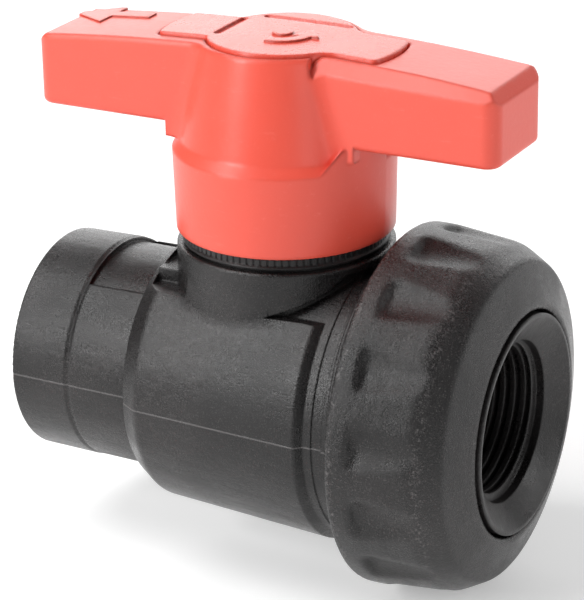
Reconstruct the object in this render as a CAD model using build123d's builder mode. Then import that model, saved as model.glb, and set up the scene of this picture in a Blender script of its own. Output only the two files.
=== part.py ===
from build123d import *
import os
from math import asin, cos, radians, sin, sqrt

os.makedirs("parts", exist_ok=True)

# Seacock ball valve with a union at one end: a quarter-turn full-bore valve in glass-filled plastic.
# Origin: the centre of the ball. +X runs along the pipe line to the union end, +Z up the stem axis.
# The valve is drawn open: the grip bar lies along the pipe line. Millimetres throughout.

# ---------------------------------------------------------------- driving dimensions
# Pipe thread, parallel, 1 inch nominal, 11 threads to the inch
pipe_thread_pitch = 2.309
pipe_thread_major = 33.249 / 2
pipe_thread_minor = 30.291 / 2
pipe_thread_length = 16.0
thread_overlap = 0.3
thread_mouth_share = 0.60
thread_root_share = 0.10
thread_first_angle = 135.0
thread_lead_in = 1.0
thread_mouth_flare = 1.6
thread_early_start = 1.2
thread_run_out = 2.4

# Ball and waterway
ball_radius = 19.5
waterway_radius = 12.5
chamber_clearance = 0.9
slot_width = 6.2
slot_floor = 14.4

# Seats, one each side of the ball
seat_bore_clearance = 0.3
seat_outer_radius = 18.0
seat_lip = 1.12
seat_thickness = 4.5
seat_spherical_clearance = 0.05
seat_pocket_clearance = 0.1
seat_pocket_depth = 2.4
energiser_cord = 1.8
energiser_radius = 16.2
groove_side_clearance = 0.1

# Inlet end of the body, outside
inlet_end = -53.9
socket_radius = 23.7
socket_edge = -40.9
socket_draft = 0.2
neck_groove_width = 1.6
neck_groove_depth = 0.3
pad_radius = 22.8
pad_half_width = 14.0
pad_inset = 1.2
pad_cut_floor = 14.0

# Barrel, outside
barrel_left = -25.0
barrel_left_radius = 26.3
barrel_shoulder = 4.2
barrel_shoulder_radius = 28.9
barrel_shoulder_round = 3.0
barrel_end_round = 0.8
barrel_right = 17.0
barrel_right_radius = 30.8
collar_radius = 29.4
barrel_core_depth = 4.0
collar_front = 18.6
collar_end = 20.4
pocket_floor = 22.6
flange_thickness = 1.7
spine_half_width = 12.6
spine_top = 25.4

# Stem neck of the body, outside and cored from the top
neck_radius = 22.5
neck_top = 31.9
neck_blend = 8.0
pocket_reach = 13.2
pocket_reach_right = 7.0
undercut_radius = 21.0
undercut_line = ((6.0, 22.6), (12.5, 25.0), (16.5, 27.0), (19.5, 30.3), (34.0, 30.3), (34.0, 22.6))
neck_wall = 2.9
neck_core_floor = 26.4
tower_root = 24.0
tower_radius = 11.2
tower_top = 43.4
neck_rib_count = 8
neck_rib_width = 1.6
neck_rib_first = 22.5
neck_rib_drop = 3.2
neck_rib_overlap = 0.5

# Travel stops
stop_ring_radius = 21.3
stop_ring_spigot = 20.7
stop_ring_bore = 15.4
stop_ring_seat_depth = 1.6
stop_ring_seat_clearance = 0.2
stop_ring_lift = 0.5
serration_lift = 1.2
stop_ring_top = 34.5
stop_bead = 0.35
stop_block_height = 38.6
stop_inner_radius = 16.4
stop_block_angle = 20.0
stop_block_clearance = 0.5
lug_angle = 24.0
lug_gap_angle = 1.2
serration_count = 90
serration_width = 0.4
serration_depth = 0.2
quarter_turn = 90.0
half_turn = 180.0

# Stem
stem_radius = 7.0
stem_clearance = 0.08
stem_flange_radius = 9.4
stem_flange_clearance = 0.2
stem_flange_round = 0.5
stem_flange_bottom = 20.1
stem_flange_top = 22.3
thrust_washer_thickness = 0.9
tang_clearance = 0.1
tang_half_length = 7.6
seal_cord = 1.6
seal_groove_width = 2.3
seal_lower = 27.2
seal_upper = 31.6
bush_bottom = 36.2
bush_wall = 1.2
bush_flange_thickness = 0.5
bush_edge = 0.2
drive_width = 9.6
drive_clearance = 0.08
drive_bottom = 44.2
drive_top = 60.2
drive_head_room = 0.2

# Union: body spigot, nut and tail. The union thread is left plain: the spigot is drawn at the male
# thread's root and the nut at the female thread's root.
spigot_relief_end = 23.0
spigot_relief_radius = 29.2
union_thread_root = 30.0
union_thread_depth = 1.6
union_thread_clearance = 0.25
spigot_chamfer = 0.6
union_face = 41.0
face_gap = 0.05
tail_flange_radius = 29.4
tail_flange_thickness = 5.4
tail_hub_radius = 22.8
tail_end = 54.2
tail_spigot_clearance = 0.15
tail_mouth_radius = 22.0
counterbore_radius = 16.75
counterbore_bottom = 48.5
counterbore_top = 50.7
counterbore_bevel = 0.4
tail_nose_round = 0.8
radial_ring_place = 24.5
radial_ring_cord = 2.4
face_ring_radius = 26.9
face_ring_cord = 2.4
ring_squeeze_gap = 0.05
ring_groove_share = 0.7

# Union nut, outside
nut_back = 27.4
nut_radius = 37.5
nut_back_band = 4.0
nut_draft = 1.4
nut_shoulder = 45.0
nut_nose_start = 50.6
nut_nose_drop = 4.5
nut_nose = 53.7
nut_hole_radius = 23.4
nut_entry = 0.8
nut_chamber_inset = 0.4
nut_chamber_bevel = 0.3
nut_back_round = 0.7
nut_shoulder_round = 5.0
nut_nose_round = 1.5
nut_hole_round = 0.5
nut_root_round = 0.8
nut_scallop_count = 15
nut_scallop_radius = 8.5
nut_scallop_depth = 2.0
nut_scallop_start = 32.4
nut_scallop_first = 8.9

# Handle
bar_half_length = 51.7
bar_half_width = 11.3
bar_bottom = 56.7
bar_top_middle = 74.4
bar_top_end = 71.5
bar_corner = 3.2
blend_margin = 10.0
skirt_bottom = 35.0
skirt_bottom_radius = 22.5
skirt_top_radius = 22.9
skirt_wall = 2.6
ledge_bottom = 51.9
ledge_top = 53.9
hub_waist_radius = 21.3
hub_lip_radius = 16.9
hub_blend = 6.0
scoop_end = 16.3
scoop_slope = 3.0
hub_web_bottom = 55.2
sleeve_radius = 10.6
bevel_width = 2.3
bevel_start = 12.0
bevel_start_low = 71.5
bevel_start_high = 74.2
bevel_end_low = 69.9
end_bevel = 2.0
rim_round = 0.8
lower_round = 1.2
bar_wall = 2.4
bar_core_start = 24.0
bar_core_top = 68.4
bar_rib_place = 37.0
bar_rib_thickness = 2.0
screw_floor = 62.6
screw_well_radius = 7.4
screw_hole_clearance = 0.3
lug_inner_radius = 16.6
lug_floor_gap = 0.6
arrow_height = 0.3
arrow_place = 4.6
arrow_shaft_half = 1.6
arrow_head_half = 6.3
arrow_head_far = 4.9
arrow_end_gap = 1.3
arrow_head_length = 8.4
arrow_length = 17.4
arrow_margin = 0.9

# Handle cap
cap_gap = 0.55
cap_disc_radius = 15.2
cap_tongue_half_width = 7.5
cap_tongue_reach = 25.4
cap_end_bow = 1.2
cap_proud = 0.6
cap_thickness = 2.2
cap_crown_drop = 0.6
cap_pocket_depth = 3.6
cap_corner = 1.0
cap_blend_left = 0.5
cap_blend_right = 6.0
cap_wall = 1.6
cap_floor_gap = 0.1
emblem_height = 0.4
groove_depth = 0.7
groove_width = 1.7
line_side_place = -12.3
line_side_middle = 0.8
line_side_length = 12.6
line_top_place = 9.6
line_top_middle = 0.7
line_top_length = 20.3
emblem_dot_radius = 2.2
emblem_inner = 4.6
emblem_outer = 6.9
emblem_arc_middle = -50.0
emblem_head_turn = 10.0
emblem_head_radius = 3.2
leg_place = 11.0
leg_radius = 1.8
leg_length = 6.0
leg_clearance = 0.05
leg_head_room = 0.4

# Screw
screw_radius = 2.5
screw_clearance = 0.05
screw_head_radius = 4.7
screw_head_height = 3.0
screw_length = 16.0
screw_drive_width = 4.0
screw_drive_depth = 2.0
screw_tip_round = 0.5
washer_radius = 6.2
washer_thickness = 1.0

# Edge treatments
soft_edge = 0.6
small_edge = 0.3
edge_tolerance = 0.01


# ---------------------------------------------------------------- shared outlines and cutters
def profile(*points, rounds=()):
    """A face in the XZ plane through points of (x, z); rounds lists (point number, radius) for corners."""
    with BuildSketch(Plane.XZ) as face:
        with BuildLine():
            Polyline(*points, close=True)
        make_face()
        for number, radius in rounds:
            corner = face.vertices().sort_by_distance((*points[number], 0))[0]
            fillet(corner, radius)
    return face.sketch


def ring_section(place, radius, cord):
    """The round section of a ring about the X axis."""
    with BuildSketch(Plane.XZ) as face:
        with Locations((place, radius)):
            Circle(cord / 2)
    return face.sketch


def stem_ring_section(height, radius, cord):
    """The round section of a ring about the Z axis."""
    with BuildSketch(Plane.XZ) as face:
        with Locations((radius, height)):
            Circle(cord / 2)
    return face.sketch


def is_blend_seam(edge):
    """True for the curve where two simple solids meet, which is neither a circle nor a line."""
    return edge.geom_type not in (GeomType.CIRCLE, GeomType.LINE)


def sector(inner, outer, middle_angle, width_angle):
    """A ring sector in the XY plane about the stem axis."""
    half = radians(width_angle / 2)
    reach = 2 * outer
    with BuildSketch(Plane.XY) as face:
        Circle(outer)
        Circle(inner, mode=Mode.SUBTRACT)
        with BuildLine(Plane.XY.rotated((0, 0, middle_angle))):
            Polyline((0, 0), (reach * cos(half), -reach * sin(half)),
                     (reach * cos(half), reach * sin(half)), close=True)
        make_face(mode=Mode.INTERSECT)
    return face.sketch


def crown(lift, bottom):
    """The side view of the grip's crowned top, raised by lift, down to a flat bottom."""
    left = (-bar_half_length, bar_top_end + lift)
    right = (bar_half_length, bar_top_end + lift)
    with BuildSketch(Plane.XZ) as face:
        with BuildLine():
            ThreePointArc(left, (0, bar_top_middle + lift), right)
            Polyline(right, (bar_half_length, bottom), (-bar_half_length, bottom), left)
        make_face()
    return face.sketch


def pipe_thread(start):
    """A helical cutter for the groove of the female pipe thread, from x = start towards +X."""
    inner = pipe_thread_minor - thread_overlap
    height = pipe_thread_major - inner
    mouth_half = thread_mouth_share * pipe_thread_pitch / 2
    root_half = thread_root_share * pipe_thread_pitch / 2
    with BuildPart() as cutter:
        with BuildLine() as path:
            Helix(pitch=pipe_thread_pitch, height=pipe_thread_length, radius=inner)
        with BuildSketch(Plane(origin=path.line @ 0, z_dir=path.line % 0, x_dir=(1, 0, 0))):
            with BuildLine():
                Polyline((0, -mouth_half), (height, -root_half), (height, root_half), (0, mouth_half),
                         close=True)
            make_face()
        sweep(path=path.line, is_frenet=True)
    return Plane.YZ.offset(start) * Rot(0, 0, thread_first_angle) * cutter.part


# ---------------------------------------------------------------- values that several pieces share
chamber_radius = ball_radius + chamber_clearance
seat_bore = waterway_radius + seat_bore_clearance
seat_sphere = ball_radius + seat_spherical_clearance
seat_back = sqrt(seat_sphere**2 - seat_bore**2) + seat_lip
seat_face = seat_back - seat_thickness
seat_pocket_radius = seat_outer_radius + seat_pocket_clearance
seat_pocket_mouth = seat_back - seat_pocket_depth
energiser_groove_depth = energiser_cord + ring_squeeze_gap
energiser_groove_inner = energiser_radius - energiser_cord / 2 - groove_side_clearance
energiser_groove_outer = energiser_radius + energiser_cord / 2 + groove_side_clearance

stem_bore = stem_radius + stem_clearance
thrust_shoulder = stem_flange_top + thrust_washer_thickness + 2 * face_gap
seal_root = stem_bore - seal_cord
seal_middle_radius = stem_bore - seal_cord / 2
bush_outer = stem_bore + bush_wall

tail_spigot_radius = chamber_radius - tail_spigot_clearance
flange_back = union_face + face_gap
flange_front = flange_back + tail_flange_thickness
nut_bearing = flange_front + face_gap
nut_thread_root = union_thread_root + union_thread_depth + union_thread_clearance
nut_chamber = nut_thread_root + union_thread_clearance
ring_groove_half = ring_groove_share * radial_ring_cord

skirt_inner = skirt_bottom_radius - skirt_wall
cap_top_middle = bar_top_middle + cap_proud
cap_floor = bar_top_middle - cap_pocket_depth
cap_underside = cap_floor + cap_floor_gap

# ---------------------------------------------------------------- valve body
# Four turned stages make the outside: the inlet socket, its neck, the barrel and the union spigot.
with BuildPart() as valve_body:
    groove_middle = socket_edge + neck_groove_width / 2
    revolve(
        profile(
            (inlet_end, 0),
            (inlet_end, socket_radius),
            (socket_edge, socket_radius + socket_draft),
            (groove_middle, socket_radius + socket_draft - neck_groove_depth),
            (socket_edge + neck_groove_width, socket_radius + socket_draft),
            (barrel_left + flange_thickness, socket_radius + 2 * socket_draft),
            (barrel_left + flange_thickness, collar_radius - barrel_core_depth),
            (0, collar_radius - barrel_core_depth),
            (0, collar_radius),
            (collar_end, collar_radius),
            (collar_end, spigot_relief_radius),
            (spigot_relief_end, spigot_relief_radius),
            (spigot_relief_end, union_thread_root),
            (union_face - spigot_chamfer, union_thread_root),
            (union_face, union_thread_root - spigot_chamfer),
            (union_face, 0),
            rounds=((1, soft_edge),),
        ),
        axis=Axis.X,
    )
    # Flat-bottomed pads above and below the inlet neck, where the wall is thinned
    for side in (1, -1):
        with BuildSketch(Plane.YZ.offset(socket_edge + pad_inset)):
            with Locations((0, side * socket_radius)):
                Rectangle(2 * pad_half_width, 2 * (socket_radius - pad_cut_floor))
            Circle(pad_radius, mode=Mode.SUBTRACT)
        extrude(amount=barrel_left - socket_edge - pad_inset, mode=Mode.SUBTRACT)

# The barrel and the stem neck are blended as two long plain shapes, and the barrel's ends are cut after
skin_slope = (barrel_right_radius - barrel_shoulder_radius) / (barrel_right - barrel_left - barrel_shoulder)
long_left = 2 * barrel_left
long_right = 2 * barrel_right
long_left_radius = barrel_right_radius + skin_slope * (long_left - barrel_right)
long_right_radius = barrel_right_radius + skin_slope * (long_right - barrel_right)
trim_radius = 2 * barrel_right_radius

with BuildPart() as barrel_ends:
    revolve(
        profile(
            (long_left, 0), (long_left, trim_radius), (barrel_left + barrel_shoulder + 2, trim_radius),
            (barrel_left + barrel_shoulder + 2, barrel_shoulder_radius + 2 * skin_slope),
            (barrel_left + barrel_shoulder, barrel_shoulder_radius),
            (barrel_left, barrel_left_radius), (barrel_left, 0),
            rounds=((4, barrel_shoulder_round), (5, barrel_end_round)),
        ),
        axis=Axis.X,
    )
    revolve(
        profile(
            (long_right, 0), (long_right, trim_radius), (barrel_right - 1, trim_radius),
            (barrel_right - 1, barrel_right_radius - skin_slope), (barrel_right, barrel_right_radius),
            (collar_front, collar_radius), (collar_front, 0),
            rounds=((4, barrel_end_round),),
        ),
        axis=Axis.X,
    )
    with BuildSketch(Plane.XY):
        Circle(neck_radius)
    extrude(amount=trim_radius + 1, mode=Mode.SUBTRACT)

# Beside the union the pockets reach in under the neck's wall, below a line that rises towards the nut
with BuildPart() as undercut:
    extrude(profile(*undercut_line), amount=trim_radius, both=True)
    with BuildSketch(Plane.XY):
        Circle(undercut_radius)
    extrude(amount=trim_radius, mode=Mode.SUBTRACT)

with BuildPart() as barrel_skin:
    revolve(
        profile((long_left, 0), (long_left, long_left_radius), (long_right, long_right_radius),
                (long_right, 0)),
        axis=Axis.X,
    )
    with BuildSketch(Plane.XY):
        Circle(neck_radius)
    extrude(amount=trim_radius)
    seam = barrel_skin.edges().filter_by(is_blend_seam)
    fillet(seam, neck_blend)
    with BuildSketch(Plane.XY.offset(neck_top)):
        Rectangle(2 * long_right, 2 * trim_radius)
    extrude(amount=trim_radius, mode=Mode.SUBTRACT)
    add(barrel_ends.part, mode=Mode.SUBTRACT)
    # Two pockets each side of the neck; a thin flange stays at the inlet end
    for near, far in ((barrel_left + flange_thickness, -pocket_reach), (pocket_reach_right, long_right)):
        with BuildSketch(Plane.XY.offset(pocket_floor)):
            with Locations(((near + far) / 2, 0)):
                Rectangle(far - near, 2 * trim_radius)
            Circle(neck_radius, mode=Mode.SUBTRACT)
        extrude(amount=trim_radius, mode=Mode.SUBTRACT)
    add(undercut.part, mode=Mode.SUBTRACT)
    rim = barrel_skin.edges().filter_by(GeomType.CIRCLE).group_by(Axis.Z)[-1]
    fillet(rim, soft_edge)
    # The spine that joins the flange to the neck
    with BuildSketch(Plane.XY.offset(pocket_floor - 2)):
        with Locations(((barrel_left + flange_thickness) / 2, 0)):
            Rectangle(-barrel_left - flange_thickness, 2 * spine_half_width)
    extrude(amount=spine_top - pocket_floor + 2)

# The tower round the stem stands in the neck's well, held by ribs
rib_inner = tower_radius - neck_rib_overlap
rib_outer = neck_radius - neck_wall + neck_rib_overlap
with BuildPart() as stem_tower:
    revolve(
        profile((0, tower_root), (tower_radius, tower_root), (tower_radius, tower_top), (0, tower_top),
                rounds=((2, soft_edge),)),
        axis=Axis.Z,
    )
    with BuildSketch(Plane.XY.offset(neck_core_floor - 1)):
        with PolarLocations((rib_inner + rib_outer) / 2, neck_rib_count, neck_rib_first):
            Rectangle(rib_outer - rib_inner, neck_rib_width)
    extrude(amount=neck_top - neck_rib_drop - neck_core_floor + 1)

with BuildPart() as finished_body:
    add(valve_body.part)
    add(barrel_skin.part)
    # Cored stem neck: an annular well round the stem tower
    with BuildSketch(Plane.XY.offset(neck_core_floor)):
        Circle(neck_radius - neck_wall)
    extrude(amount=tower_top, mode=Mode.SUBTRACT)
    add(stem_tower.part)
    # The rim seat for the stop ring
    with BuildSketch(Plane.XY.offset(neck_top - stop_ring_seat_depth)):
        Circle(stop_ring_spigot + stop_ring_seat_clearance)
        Circle(stop_ring_bore - stop_ring_seat_clearance, mode=Mode.SUBTRACT)
    extrude(amount=2 * stop_ring_seat_depth, mode=Mode.SUBTRACT)
    # Ball chamber, open to the union end
    revolve(
        profile(
            (-seat_pocket_mouth, 0), (-seat_pocket_mouth, chamber_radius),
            (union_face - 1, chamber_radius), (union_face + 1, chamber_radius + 2), (union_face + 1, 0),
        ),
        axis=Axis.X, mode=Mode.SUBTRACT,
    )
    # Inlet seat pocket with the energiser groove behind it
    revolve(
        profile(
            (-seat_back - face_gap, 0), (-seat_back - face_gap, seat_pocket_radius),
            (-seat_pocket_mouth + 1, seat_pocket_radius), (-seat_pocket_mouth + 1, 0),
        ),
        axis=Axis.X, mode=Mode.SUBTRACT,
    )
    revolve(
        profile(
            (-seat_back - energiser_groove_depth, energiser_groove_inner),
            (-seat_back - energiser_groove_depth, energiser_groove_outer),
            (-seat_back, energiser_groove_outer),
            (-seat_back, energiser_groove_inner),
        ),
        axis=Axis.X, mode=Mode.SUBTRACT,
    )
    # Waterway and the bore of the inlet thread
    thread_floor = inlet_end + pipe_thread_length + thread_run_out
    revolve(
        profile(
            (inlet_end - 1, 0), (inlet_end - 1, pipe_thread_major + thread_mouth_flare),
            (inlet_end + thread_lead_in, pipe_thread_minor), (thread_floor, pipe_thread_minor),
            (thread_floor + pipe_thread_minor - waterway_radius, waterway_radius),
            (-seat_pocket_mouth, waterway_radius), (-seat_pocket_mouth, 0),
        ),
        axis=Axis.X, mode=Mode.SUBTRACT,
    )
    # Stem bore: a counterbore for the stem's flange, the running bore, and the bush seat at the top
    revolve(
        profile(
            (0, 0), (stem_flange_radius + stem_flange_clearance, 0),
            (stem_flange_radius + stem_flange_clearance, thrust_shoulder), (stem_bore, thrust_shoulder),
            (stem_bore, bush_bottom), (bush_outer, bush_bottom), (bush_outer, tower_top + 1),
            (0, tower_top + 1),
        ),
        axis=Axis.Z, mode=Mode.SUBTRACT,
    )
    add(pipe_thread(inlet_end - thread_early_start), mode=Mode.SUBTRACT)
finished_body.part.label = "valve_body"
export_step(finished_body.part, "parts/valve_body.step")

# ---------------------------------------------------------------- seats and their backing rings
contact_inner = (sqrt(seat_sphere**2 - seat_bore**2), seat_bore)
contact_outer = (seat_face, sqrt(seat_sphere**2 - seat_face**2))
contact_middle_angle = (asin(contact_inner[1] / seat_sphere) + asin(contact_outer[1] / seat_sphere)) / 2
contact_middle = (seat_sphere * cos(contact_middle_angle), seat_sphere * sin(contact_middle_angle))
with BuildPart() as outlet_seat:
    with BuildSketch(Plane.XZ):
        with BuildLine():
            ThreePointArc(contact_inner, contact_middle, contact_outer)
            Polyline(contact_outer, (seat_face, seat_outer_radius), (seat_back, seat_outer_radius),
                     (seat_back, seat_bore), contact_inner)
        make_face()
    revolve(axis=Axis.X)
outlet_seat.part.label = "outlet_seat"
export_step(outlet_seat.part, "parts/outlet_seat.step")

with BuildPart() as inlet_seat:
    add(outlet_seat.part.mirror(Plane.YZ))
inlet_seat.part.label = "inlet_seat"
export_step(inlet_seat.part, "parts/inlet_seat.step")

energiser_place = seat_back + face_gap + energiser_cord / 2
with BuildPart() as outlet_seat_o_ring:
    revolve(ring_section(energiser_place, energiser_radius, energiser_cord), axis=Axis.X)
outlet_seat_o_ring.part.label = "outlet_seat_o_ring"
export_step(outlet_seat_o_ring.part, "parts/outlet_seat_o_ring.step")

with BuildPart() as inlet_seat_o_ring:
    revolve(ring_section(-energiser_place, energiser_radius, energiser_cord), axis=Axis.X)
inlet_seat_o_ring.part.label = "inlet_seat_o_ring"
export_step(inlet_seat_o_ring.part, "parts/inlet_seat_o_ring.step")

# ---------------------------------------------------------------- ball
with BuildPart() as ball:
    Sphere(ball_radius)
    with BuildSketch(Plane.YZ.offset(-ball_radius)):
        Circle(waterway_radius)
    extrude(amount=2 * ball_radius, mode=Mode.SUBTRACT)
    mouths = ball.edges().filter_by(GeomType.CIRCLE).filter_by(Plane.YZ)
    fillet(mouths, small_edge)
    # The drive slot lies across the waterway, so that the closed ball can shift onto its seat
    with BuildSketch(Plane.XY.offset(slot_floor)):
        Rectangle(slot_width, 2 * ball_radius)
    extrude(amount=ball_radius, mode=Mode.SUBTRACT)
ball.part.label = "ball"
export_step(ball.part, "parts/ball.step")

# ---------------------------------------------------------------- stem and its seals
with BuildPart() as stem:
    revolve(
        profile(
            (0, stem_flange_bottom), (stem_flange_radius, stem_flange_bottom),
            (stem_flange_radius, stem_flange_top), (stem_radius, stem_flange_top),
            (stem_radius, drive_bottom), (0, drive_bottom),
            rounds=((1, stem_flange_round), (2, small_edge)),
        ),
        axis=Axis.Z,
    )
    for height in (seal_lower, seal_upper):
        revolve(
            profile(
                (seal_root, height - seal_groove_width / 2),
                (stem_radius + 1, height - seal_groove_width / 2),
                (stem_radius + 1, height + seal_groove_width / 2),
                (seal_root, height + seal_groove_width / 2),
            ),
            axis=Axis.Z, mode=Mode.SUBTRACT,
        )
    # The tang that stands in the ball's slot
    with BuildSketch(Plane.XY.offset(slot_floor + tang_clearance)):
        Rectangle(slot_width - 2 * tang_clearance, 2 * tang_half_length)
    extrude(amount=stem_flange_bottom - slot_floor)
    # The square that carries the handle, with the hole for its screw
    with BuildSketch(Plane.XY.offset(drive_bottom)):
        RectangleRounded(drive_width, drive_width, soft_edge)
    extrude(amount=drive_top - drive_bottom)
    with BuildSketch(Plane.XY.offset(drive_top)):
        Circle(screw_radius + screw_clearance)
    extrude(amount=-screw_length, mode=Mode.SUBTRACT)
stem.part.label = "stem"
export_step(stem.part, "parts/stem.step")

for name, height in (("stem_o_ring_lower", seal_lower), ("stem_o_ring_upper", seal_upper)):
    with BuildPart() as stem_ring:
        middle = seal_middle_radius - ring_squeeze_gap / 2
        revolve(stem_ring_section(height, middle, seal_cord - ring_squeeze_gap), axis=Axis.Z)
    stem_ring.part.label = name
    export_step(stem_ring.part, f"parts/{name}.step")

with BuildPart() as stem_thrust_washer:
    with BuildSketch(Plane.XY.offset(stem_flange_top)):
        Circle(stem_flange_radius)
        Circle(stem_bore, mode=Mode.SUBTRACT)
    extrude(amount=thrust_washer_thickness)
stem_thrust_washer.part.label = "stem_thrust_washer"
export_step(stem_thrust_washer.part, "parts/stem_thrust_washer.step")

with BuildPart() as stem_bush:
    bush_flange_top = tower_top + bush_flange_thickness
    revolve(
        profile(
            (stem_bore, bush_bottom + face_gap), (bush_outer - face_gap, bush_bottom + face_gap),
            (bush_outer - face_gap, tower_top), (tower_radius - 1, tower_top),
            (tower_radius - 1, bush_flange_top), (stem_bore, bush_flange_top),
            rounds=((4, bush_edge),),
        ),
        axis=Axis.Z,
    )
stem_bush.part.label = "stem_bush"
export_step(stem_bush.part, "parts/stem_bush.step")

# ---------------------------------------------------------------- travel stop ring
# The handle's two lugs stand in the open quarters between the ring's blocks.
lug_rest_angle = quarter_turn / 2
block_middle = lug_rest_angle + lug_angle / 2 + lug_gap_angle + stop_block_angle / 2
with BuildPart() as stop_ring:
    ring_bottom = neck_top - stop_ring_seat_depth
    rim_bottom = neck_top + stop_ring_lift
    serration_bottom = neck_top + serration_lift
    serrated_radius = stop_ring_radius - stop_bead
    with BuildSketch(Plane.XY.offset(ring_bottom)):
        Circle(stop_ring_spigot)
        Circle(stop_ring_bore, mode=Mode.SUBTRACT)
    extrude(amount=stop_ring_top - ring_bottom)
    revolve(
        profile(
            (stop_inner_radius, rim_bottom), (stop_ring_radius, rim_bottom),
            (stop_ring_radius, rim_bottom + stop_bead), (serrated_radius, serration_bottom),
            (serrated_radius, stop_ring_top), (stop_inner_radius, stop_ring_top),
        ),
        axis=Axis.Z,
    )
    with BuildSketch(Plane.XY.offset(serration_bottom)):
        with PolarLocations(serrated_radius, serration_count):
            Rectangle(2 * serration_depth, serration_width)
    extrude(amount=stop_ring_top - serration_bottom, mode=Mode.SUBTRACT)
    for middle_angle in (block_middle, -block_middle, half_turn + block_middle, half_turn - block_middle):
        blocks = sector(stop_inner_radius, skirt_inner - stop_block_clearance, middle_angle,
                        stop_block_angle)
        extrude(Plane.XY.offset(stop_ring_top) * blocks, amount=stop_block_height - stop_ring_top)
stop_ring.part.label = "stop_ring"
export_step(stop_ring.part, "parts/stop_ring.step")

# ---------------------------------------------------------------- union tail
with BuildPart() as union_tail:
    thread_end = counterbore_bottom
    thread_start = thread_end - pipe_thread_length
    bore_run_out = thread_start - thread_run_out
    revolve(
        profile(
            (seat_pocket_mouth, 0),
            (seat_pocket_mouth, tail_spigot_radius),
            (flange_back, tail_spigot_radius),
            (flange_back, tail_flange_radius),
            (flange_front, tail_flange_radius),
            (flange_front, tail_hub_radius),
            (tail_end, tail_hub_radius),
            (tail_end, 0),
            rounds=((1, tail_nose_round), (4, soft_edge), (3, small_edge), (6, small_edge)),
        ),
        axis=Axis.X,
    )
    # Waterway, thread bore, counterbore and the wide lead-in
    revolve(
        profile(
            (seat_pocket_mouth - 1, 0), (seat_pocket_mouth - 1, waterway_radius),
            (bore_run_out - pipe_thread_minor + waterway_radius, waterway_radius),
            (bore_run_out, pipe_thread_minor), (counterbore_bottom, pipe_thread_minor),
            (counterbore_bottom + counterbore_bevel, counterbore_radius),
            (counterbore_top, counterbore_radius),
            (tail_end, tail_mouth_radius), (tail_end + 1, tail_mouth_radius), (tail_end + 1, 0),
        ),
        axis=Axis.X, mode=Mode.SUBTRACT,
    )
    # Seat pocket, and the energiser groove behind it
    revolve(
        profile(
            (seat_pocket_mouth - 1, 0), (seat_pocket_mouth - 1, seat_pocket_radius),
            (seat_back + face_gap, seat_pocket_radius), (seat_back + face_gap, 0),
        ),
        axis=Axis.X, mode=Mode.SUBTRACT,
    )
    revolve(
        profile(
            (seat_back, energiser_groove_inner),
            (seat_back, energiser_groove_outer),
            (seat_back + energiser_groove_depth, energiser_groove_outer),
            (seat_back + energiser_groove_depth, energiser_groove_inner),
        ),
        axis=Axis.X, mode=Mode.SUBTRACT,
    )
    # Groove for the ring that seals the spigot in the chamber
    radial_root = chamber_radius - radial_ring_cord
    revolve(
        profile(
            (radial_ring_place - ring_groove_half, radial_root),
            (radial_ring_place - ring_groove_half, chamber_radius),
            (radial_ring_place + ring_groove_half, chamber_radius),
            (radial_ring_place + ring_groove_half, radial_root),
        ),
        axis=Axis.X, mode=Mode.SUBTRACT,
    )
    # Groove for the ring that seals the flange against the body
    revolve(
        profile(
            (flange_back - 1, face_ring_radius - ring_groove_half),
            (flange_back - 1, face_ring_radius + ring_groove_half),
            (flange_back + face_ring_cord, face_ring_radius + ring_groove_half),
            (flange_back + face_ring_cord, face_ring_radius - ring_groove_half),
        ),
        axis=Axis.X, mode=Mode.SUBTRACT,
    )
    add(pipe_thread(thread_start), mode=Mode.SUBTRACT)
union_tail.part.label = "union_tail"
export_step(union_tail.part, "parts/union_tail.step")

with BuildPart() as tail_o_ring:
    tail_ring_section = radial_ring_cord - ring_squeeze_gap
    tail_ring_middle = radial_root + tail_ring_section / 2
    revolve(ring_section(radial_ring_place, tail_ring_middle, tail_ring_section), axis=Axis.X)
tail_o_ring.part.label = "tail_o_ring"
export_step(tail_o_ring.part, "parts/tail_o_ring.step")

with BuildPart() as union_face_o_ring:
    face_ring_section = face_ring_cord - ring_squeeze_gap
    face_ring_place = flange_back + face_ring_cord - face_ring_section / 2
    revolve(ring_section(face_ring_place, face_ring_radius, face_ring_section), axis=Axis.X)
union_face_o_ring.part.label = "union_face_o_ring"
export_step(union_face_o_ring.part, "parts/union_face_o_ring.step")

# ---------------------------------------------------------------- union nut
with BuildPart() as union_nut:
    revolve(
        profile(
            (nut_back, nut_thread_root + nut_entry),
            (nut_back, nut_radius),
            (nut_back + nut_back_band, nut_radius),
            (nut_shoulder, nut_radius - nut_draft),
            (nut_nose_start, nut_radius - nut_nose_drop),
            (nut_nose, nut_hole_radius + 1.0),
            (nut_nose, nut_hole_radius),
            (nut_bearing, nut_hole_radius),
            (nut_bearing, nut_chamber),
            (union_face - nut_chamber_inset, nut_chamber),
            (union_face - nut_chamber_inset - nut_chamber_bevel, nut_thread_root),
            (nut_back + nut_entry, nut_thread_root),
            rounds=((1, nut_back_round), (3, nut_shoulder_round), (4, nut_nose_round), (5, nut_hole_round),
                    (8, nut_root_round)),
        ),
        axis=Axis.X,
    )
    with BuildSketch(Plane.YZ.offset(nut_scallop_start)):
        with PolarLocations(nut_radius - nut_scallop_depth + nut_scallop_radius, nut_scallop_count,
                            half_turn - nut_scallop_first):
            Circle(nut_scallop_radius)
    extrude(amount=2 * (nut_nose - nut_scallop_start), mode=Mode.SUBTRACT)
union_nut.part.label = "union_nut"
export_step(union_nut.part, "parts/union_nut.step")

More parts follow.
